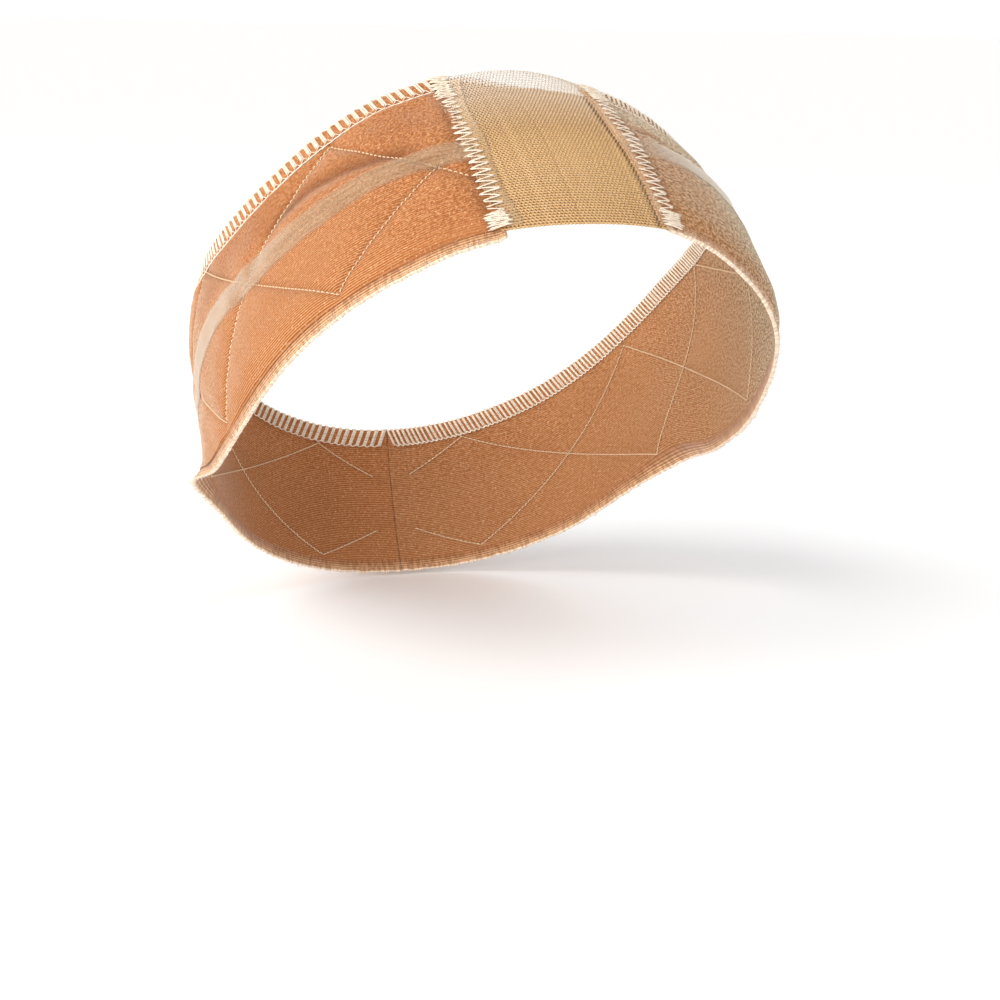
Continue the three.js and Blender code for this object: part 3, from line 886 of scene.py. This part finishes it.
# strands, and the painted shade on each of their four sides: the sides towards an opening are darkest
def netStrands(rowH, share, out, radius, crest):
    count = len(rowH)
    swing = 2 * np.pi * net["waves"] * share + np.pi * np.arange(count)[:, None]
    swing = swing + dice.normal(0, net["sway"], (count, 1))
    phi = netPhi(share, rowH)
    h = rowH + netSag(phi, rowH) + crest * np.gradient(rowH[:, 0])[:, None] * np.sin(swing)
    middle, reach = net["flareAlong"]
    raised = smoothStep(upEdge(0) - net["flareDepth"], upEdge(0), rowH) ** 2
    flare = net["flare"] * raised * bell(phi - middle, reach)
    beside = bell(share - openColumn["share"] + hemReach("left", rowH), openColumn["reach"])
    beside = beside * (1 - smoothStep(*openColumn["fade"], rowH))
    radius = radius * (1 - openColumn["thinner"] * beside)
    strands = laidThreads(phi, h, out + flare + net["crossing"] * np.cos(2 * swing), radius, 4, net["flat"])
    rearward = smoothStep(*netShade["rearFrom"], rowH)
    bow = 0.5 + 0.5 * np.sin(swing)
    front = netShade["front"] * rearward + openColumn["deep"] * beside
    sides = [front * bow, bow, 1 + 0 * swing, 1 - bow]
    deepen = 1 + netShade["deepen"] * rearward + beside
    return strands, np.clip(np.stack(sides, -1) * deepen[..., None], 0, netShade["most"])


def makeNet():
    rows = netRows()
    split = looseFrom(rows)
    run = np.linspace(0, 1, net["waves"] * net["pointsPerWave"] + 1)[None, :]
    share = np.minimum(split, 1) * run
    near = 1 - smoothStep(0, net["fade"], split - share)
    radius = net["radius"] * (1 - net["looseThinner"] * near)
    # painted shade on the strands' sides
    strands, hollow = netStrands(rows, share, net["out"], radius,
                                 mix(net["crest"], net["looseCrest"], near))
    piece = addPiece("net_strands", strands, netThread, hollow)
    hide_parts("mesh_panel")
    free = split[:, 0] < 1
    loose = netStrands(rows[free], mix(split[free], 1, run), net["out"], net["looseRadius"],
                       net["looseCrest"])[0]
    return piece, addPiece("net_loose", loose, looseThread)


# painted shade: straight dark threads under the openings between the rows, which darken the openings
def makeNetShadeStrands():
    rows = netRows()
    rows = rows[:-1] + 0.5 * np.diff(rows, axis=0)
    reach = np.clip(looseFrom(rows) - netShadeStrands["short"], 0, 1)
    phi = netPhi(reach * np.linspace(0, 1, netShadeStrands["points"])[None, :], rows)
    shadeStrands = laidThreads(phi, rows + netSag(phi, rows), netShadeStrands["out"] + 0 * phi, netShadeStrands["radius"], 4,
                        netShadeStrands["flat"])
    return addPiece("net_painted_shade", shadeStrands, shadeStrandThread)


# the net is folded back beside both seams, so a second layer lies over it there
def makeNetHem(side):
    rows = netRows()[1:-netHem["topRows"][side]]
    rows = rows + 0.5 * np.gradient(rows[:, 0])[:, None]
    reach = hemReach(side, rows)
    run = np.linspace(0, 1, int(netHem["share"][side] * net["waves"] * net["pointsPerWave"]) + 2)[None, :]
    swing, pace = netHem["edgeWave"]
    uneven = 1 + swing * np.sin(pace * rows) + dice.normal(0, netHem["edgeUneven"], rows.shape)
    share = reach * uneven * run if side == "right" else 1 - reach * uneven * (1 - run)
    height, up, along = netHem["rumple"]
    rumple = height * np.sin(up * rows + along * run) + dice.normal(0, netHem["rumpleUneven"], rows.shape)
    strands = netStrands(rows, share, netHem["out"] + rumple, netHem["thicker"] * net["radius"],
                         net["crest"])[0]
    return addPiece(f"net_hem_{side}", strands, hemThread[side])


netPiece, loosePiece = makeNet()
shadeStrandPiece = makeNetShadeStrands()
hemPieces = [makeNetHem(side) for side in signs]

# nape closure: a tab with round corners over the two band ends
closure = {"halfSpan": 10.5, "low": -15, "up": 19, "corner": 4, "degreeLength": 1.6, "thickness": 1.5,
           "base": 2.2, "inner": 2.05, "edge": (2.7, 2.6), "columns": 70, "rows": 90, "closeRows": 0.8,
           "rim": 0.7, "stitchInset": 2.2, "stitchDip": (0.25, 0.6)}


def makeClosure():
    across = closerAtEnds(closure["columns"], closure["closeRows"]) * 2 - 1
    climb = (closerAtEnds(closure["rows"], closure["closeRows"]) * 2 - 1)[None, :]
    halfWidth = closure["halfSpan"] * closure["degreeLength"]
    side = np.abs(across)[:, None] * closure["halfSpan"] * closure["degreeLength"]
    into = np.clip(side - (halfWidth - closure["corner"]), 0, None)
    cut = closure["corner"] - np.sqrt(np.maximum(closure["corner"] ** 2 - into ** 2, 0))
    half = (closure["up"] - closure["low"]) / 2 - cut
    h = (closure["up"] + closure["low"]) / 2 + half * climb
    phi = 180 + across[:, None] * closure["halfSpan"] + 0 * h
    inset = np.minimum(half * (1 - np.abs(climb)), halfWidth - side)
    full = rounded(inset, closure["rim"])
    seam = bulge(closure["stitchDip"], inset - closure["stitchInset"])
    outerEdge, innerEdge = closure["edge"]
    outer = mix(outerEdge, closure["base"] + closure["thickness"], full) - seam
    inner = mix(innerEdge, closure["inner"], full)
    uv = np.stack([phi * closure["degreeLength"], h], -1)
    piece = addPiece("closure_tab", wall(phi, h, outer, inner, uv), closureFinish)
    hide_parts("back_closure")
    return piece


closurePiece = makeClosure()
print("cloth pieces ready")


# overlock section: climbs from the needle line, turns over the upper edge and goes down inside
def overlockSection():
    turn = np.linspace(0, np.pi, 7)[1:-1]
    start, faceSteps, backSteps = overlock["turnStart"], overlock["faceSteps"], overlock["backSteps"]
    below = np.concatenate([np.linspace(overlock["depth"] - overlock["tie"], start, faceSteps),
                            overlock["turnMiddle"] - overlock["turnRise"] * np.sin(turn),
                            np.linspace(start, overlock["backDepth"], backSteps)])
    share = np.concatenate([np.ones(faceSteps), 0.5 + 0.5 * np.cos(turn), np.zeros(backSteps)])
    return below, share


def makeOverlock(side):
    start = seamAt[side](overlock["seamHeight"]) + overlock["fromSeam"]
    around, rate = paces(side, upEdge, start, overlock["end"], overlock["pitch"][side])
    below, share = overlockSection()
    radius = overlock["radius"][side]
    count = len(around)
    parts = []
    for strand in overlock["strands"][side]:
        sideways = strand * overlock["strandGap"] + dice.normal(0, overlock["uneven"], (count, 1))
        sideways = sideways + overlock["lean"] * (1 - below / overlock["depth"])
        phi = around[:, None] + sideways * rate[:, None]
        h = upEdge(phi) - below
        face = velvetFace(side, phi, h) + overlock["rise"] - overlock["crown"] * strand ** 2
        out = mix(overlock["backOut"], face, share) + dice.normal(0, overlock["unevenOut"], (count, 1))
        paths = beltPoint(signs[side] * phi, h, out)
        parts.append(threads(paths, alongAt(signs[side] * phi), radius, 4))
    # needle thread, ties from it up to the feet of the rungs, and threads on the edge and inside
    steps = np.linspace(0, count - 1, count * overlock["stepsPerBar"])
    line = np.interp(steps, np.arange(count), around)[None, :]
    beat = np.cos(2 * np.pi * steps)[None, :]
    tie = np.arccos(overlock["tieSharpness"] * beat) / np.pi
    needle = overlock["needle"]
    courses = [(overlock["depth"] + needle["drop"] - needle["wave"] * beat, needle["rise"],
                overlock["needleRadius"]),
               (overlock["depth"] - overlock["tie"] * (overlock["tieTop"] - tie), overlock["rise"],
                overlock["tieRadius"])]
    for depth, rise, courseRadius in courses:
        h = upEdge(line) - depth
        parts.append(laidThreads(signs[side] * line, h, velvetFace(side, line, h) + rise, courseRadius, 4))
    wave = overlock["edgeWave"] * beat
    for depth, out in ((overlock["edgeDrop"] + wave, overlock["edgeOut"]),
                       (overlock["backDepth"] - wave, overlock["insideOut"])):
        h = upEdge(line) - depth
        parts.append(laidThreads(signs[side] * line, h, out + 0 * h, radius, 4))
    return addPiece(f"overlock_{side}", joined(parts), creamThread)


overlockPieces = {side: makeOverlock(side) for side in signs}


# one zigzag thread up a seam, its stitches longer towards the rear
def zigzag(side, hFrom, hTo, pitch, width, shift, lift, jitter):
    climb = np.linspace(hFrom, hTo, 500)
    line = beltPoint(signs[side] * stitchLine(side, climb), climb, velvet["outer"])
    stretch = mix(1, seamStitch["rearStretch"], smoothStep(*seamStitch["stretchFrom"], climb[1:]))
    length = lengthAlong(line, stretch)
    legs = max(2, int(2 * length[-1] / pitch))
    place = np.linspace(0, legs, legs * seamStitch["pointsPerLeg"] + 1)
    swing = np.arcsin(np.cos(np.pi * place) * seamStitch["tipSharpness"]) / (np.pi / 2)
    corners = np.arange(legs + 1)
    tips = np.interp(place, corners, dice.normal(0, jitter, legs + 1))
    h = np.interp(place / legs * length[-1] + shift + tips, length, climb)
    reach = width / 2 * swing * (1 + np.interp(place, corners, dice.normal(0, jitter, legs + 1)))
    around = stitchLine(side, h) + reach / velvet["degreeLength"]
    out = seamStitch["out"] + lift + seamStitch["arch"] * (1 - np.abs(swing) ** 3)
    return laidThreads(signs[side] * around[None], h[None], out[None], seamStitch["radius"])


def makeSeam(side):
    low, up = net["low"] - seamStitch["lowDrop"], upEdge(seamAngle) - seamStitch["topDrop"][side]
    width = seamStitch["width"][side]
    parts = []
    for shift, lift in seamStitch["runs"]:
        parts.append(zigzag(side, low, up, seamStitch["pitch"], width, shift, lift, seamStitch["jitter"]))
    front, rear = seamStitch["frontBartack"], seamStitch["rearBartack"]
    for start, end, tack in ((low, low + front[0], front), (up - rear[0], up, rear)):
        for shift, lift in seamStitch["tackRuns"]:
            parts.append(zigzag(side, start, end, tack[1], width * tack[2], shift, lift,
                                seamStitch["tackJitter"]))
    return addPiece(f"seam_stitch_{side}", joined(parts), creamThread)


seamPieces = {side: makeSeam(side) for side in signs}

# quilting stitches: short dashes that rise from the hollow and dive at both ends
quiltStitch = {"pitch": 1.5, "share": 0.8, "radius": 0.19, "points": 7, "rise": 0.36, "sink": 0.2,
               "lift": 0.1, "backLift": 0.05, "fromSeam": 2.0, "end": 176.0}


def makeQuiltStitches(side):
    look = quiltStitch
    parts = []
    t = np.linspace(0, 1, look["points"])[None, :]
    arch = look["rise"] * np.sin(np.pi * t)
    for first in (0, 1):
        seam = seamAt[side](quiltLine(seamAngle, first)) + look["fromSeam"]
        start = quilt["leftFrom"] if side == "left" else seam
        around, rate = paces(side, lambda a: quiltLine(a, first), start, look["end"], look["pitch"])
        phi = around[:, None] + (t - 0.5) * look["pitch"] * look["share"] * rate[:, None]
        h = quiltLine(phi, first)
        out = velvetFace(side, phi, h) + arch - look["sink"] + look["lift"]
        parts.append(laidThreads(signs[side] * phi, h, out, look["radius"], 4))
        back = phi + 0.5 * look["pitch"] * rate[:, None]
        inside = velvet["inner"] - arch + look["backLift"]
        parts.append(laidThreads(signs[side] * back, quiltLine(back, first), inside, look["radius"], 4))
    return addPiece(f"quilting_{side}", joined(parts), goldThread)


quiltPieces = {side: makeQuiltStitches(side) for side in signs}

# loose fibres: short bent hairs that leave the upper edge, the elastic and the seam stitches
fuzz = {"radius": 0.05, "taper": 0.6, "bend": 0.45, "stand": (0.1, 1), "spray": 0.6, "points": 3,
        "fromSeam": 0.5, "end": 178, "lowAngle": 13.0,
        "edge": {"count": 600, "seamHeight": 35, "below": (-0.2, 1.2), "out": (0.6, 1.9),
                 "length": (0.3, 0.9)},
        "elastic": {"count": 1300, "seamHeight": -24, "above": (0, 0.8), "out": (0.9, 1.9),
                    "length": (0.2, 0.7)},
        "seam": {"count": 220, "spread": 1.1, "out": (1.5, 2.0), "length": (0.4, 1.2)}}


def hairs(side, around, h, out, length):
    count = len(around)
    foot, normal = onHead(signs[side] * around, h)
    start = foot + normal * (out + liftAt(signs[side] * around, h))[:, None]
    aim = normal * dice.uniform(*fuzz["stand"], (count, 1)) + dice.normal(0, fuzz["spray"], (count, 3))
    aim = aim / np.linalg.norm(aim, axis=1, keepdims=True)
    curl = dice.normal(0, fuzz["bend"], (count, 3))
    t = np.linspace(0, 1, fuzz["points"])[None, :, None]
    paths = start[:, None] + length[:, None, None] * (t * aim[:, None] + t * t * curl[:, None])
    across = np.cross(aim, curl)[:, None] + 0 * paths
    return threads(paths, across, fuzz["radius"] * (1 - fuzz["taper"] * t[..., 0]), 4)


def makeFuzz(side):
    def drawn(part, what):
        return dice.uniform(*fuzz[part][what], fuzz[part]["count"])

    def anglesAlong(part):
        start = seamAt[side](fuzz[part]["seamHeight"]) + fuzz["fromSeam"]
        return dice.uniform(start, fuzz["end"], fuzz[part]["count"])

    top, low = anglesAlong("edge"), anglesAlong("elastic")
    count = fuzz["seam"]["count"]
    climb = dice.uniform(lowEdge(fuzz["lowAngle"], side), upEdge(seamAngle), count)
    beside = stitchLine(side, climb) + dice.normal(0, fuzz["seam"]["spread"], count)
    parts = [hairs(side, top, upEdge(top) - drawn("edge", "below"), drawn("edge", "out"),
                   drawn("edge", "length")),
             hairs(side, low, lowEdge(low, side) + drawn("elastic", "above"), drawn("elastic", "out"),
                   drawn("elastic", "length")),
             hairs(side, beside, climb, drawn("seam", "out"), drawn("seam", "length"))]
    return addPiece(f"fibres_{side}", joined(parts), creamThread)


fuzzPieces = {side: makeFuzz(side) for side in signs}
print("stitching ready")

# camera: turned and raised round the origin, then panned a little about its own axes
camera = {"azimuth": -18.18, "elevation": 9.81, "distance": 559.28, "tip": -3.81, "pan": -0.66,
          "roll": 1.22, "lens": 72.91, "sensor": 36, "clipStart": 0.01}


def makeCamera():
    turn, climb = np.radians([camera["azimuth"], camera["elevation"]])
    back = np.array([np.sin(turn) * np.cos(climb), -np.cos(turn) * np.cos(climb), np.sin(climb)])
    right = np.cross([0, 0, 1.0], back)
    right /= np.linalg.norm(right)
    base = Matrix(np.stack([right, np.cross(back, right), back], 1).tolist())
    tip, pan, roll = np.radians([camera["tip"], camera["pan"], camera["roll"]])
    aim = Matrix.Rotation(tip, 3, "X") @ Matrix.Rotation(pan, 3, "Y") @ Matrix.Rotation(roll, 3, "Z")
    data = bpy.data.cameras.new("photoCamera")
    data.lens = camera["lens"]
    data.sensor_width = camera["sensor"]
    data.clip_start = camera["clipStart"]
    eye = bpy.data.objects.new("photoCamera", data)
    eye.matrix_world = Matrix.Translation((back * camera["distance"] * mm).tolist()) @ (base @ aim).to_4x4()
    scene.collection.objects.link(eye)
    scene.camera = eye


# soft studio: large lamps at both sides and in front, and a white room, brightest along the horizon
studio = {"horizon": (0.08, 1.25), "above": (0.35, 0.54), "floorDrop": 0.5, "floorSize": 40.0,
          "floorTones": (0.97, 0.99), "floorTint": (0.98, 0.985, 1.0), "floorGrain": (90.0, 0.5)}
sun = {"from": (-1.3, -0.6, 0.75), "spread": 60, "strength": 3.3, "colour": (1.0, 0.97, 0.92)}
# place, size, power and colour of each lamp
lamps = {"rim": ((1.0, 0.5, 0.7), 0.8, 3.5, (0.95, 0.98, 1.0)),
         "edge": ((-1.1, 0.35, 0.25), 0.8, 3.2, (1.0, 0.98, 0.95)),
         "front": ((-0.2, -1.3, 0.5), 0.9, 2.0, (1.0, 0.98, 0.95))}


def aimed(data, place):
    lamp = bpy.data.objects.new(data.name, data)
    turn = Vector(place).to_track_quat("Z", "Y").to_matrix().to_4x4()
    lamp.matrix_world = Matrix.Translation(place) @ turn
    scene.collection.objects.link(lamp)


def makeLights():
    data = bpy.data.lights.new("sun", "SUN")
    data.angle, data.energy, data.color = np.radians(sun["spread"]), sun["strength"], sun["colour"]
    aimed(data, sun["from"])
    for name, (place, size, power, colour) in lamps.items():
        data = bpy.data.lights.new(name, "AREA")
        data.size, data.energy, data.color = size, power, colour
        aimed(data, place)
    world = bpy.data.worlds.new("studio")
    world.use_nodes = True
    tree = world.node_tree
    toward = addNode(tree, "ShaderNodeTexCoord").outputs["Generated"]
    sky = greyRamp(tree, axes(tree, toward)[2], studio["horizon"], studio["above"])
    tree.links.new(sky, tree.nodes["Background"].inputs["Color"])
    scene.world = world
    scene.view_settings.view_transform = "Standard"


def makeFloor():
    half = studio["floorSize"] / 2
    level = cadBox[0].z - studio["floorDrop"] * mm
    mesh = bpy.data.meshes.new("floor")
    corners = [(-half, -half, level), (half, -half, level), (half, half, level), (-half, half, level)]
    mesh.from_pydata(corners, [], [(0, 1, 2, 3)])
    material, tree, shader = newMaterial("paleFloor", Roughness=0.8)
    grain = speckle(tree, objectPlace(tree), *studio["floorGrain"])
    dim, pale = (tuple(tone * tint for tint in studio["floorTint"]) for tone in studio["floorTones"])
    tree.links.new(ramp(tree, grain, (0.0, dim), (1.0, pale)), shader.inputs["Base Color"])
    mesh.materials.append(material)
    floor = bpy.data.objects.new("floor", mesh)
    scene.collection.objects.link(floor)


makeCamera()
makeLights()
makeFloor()
print("camera and studio ready")
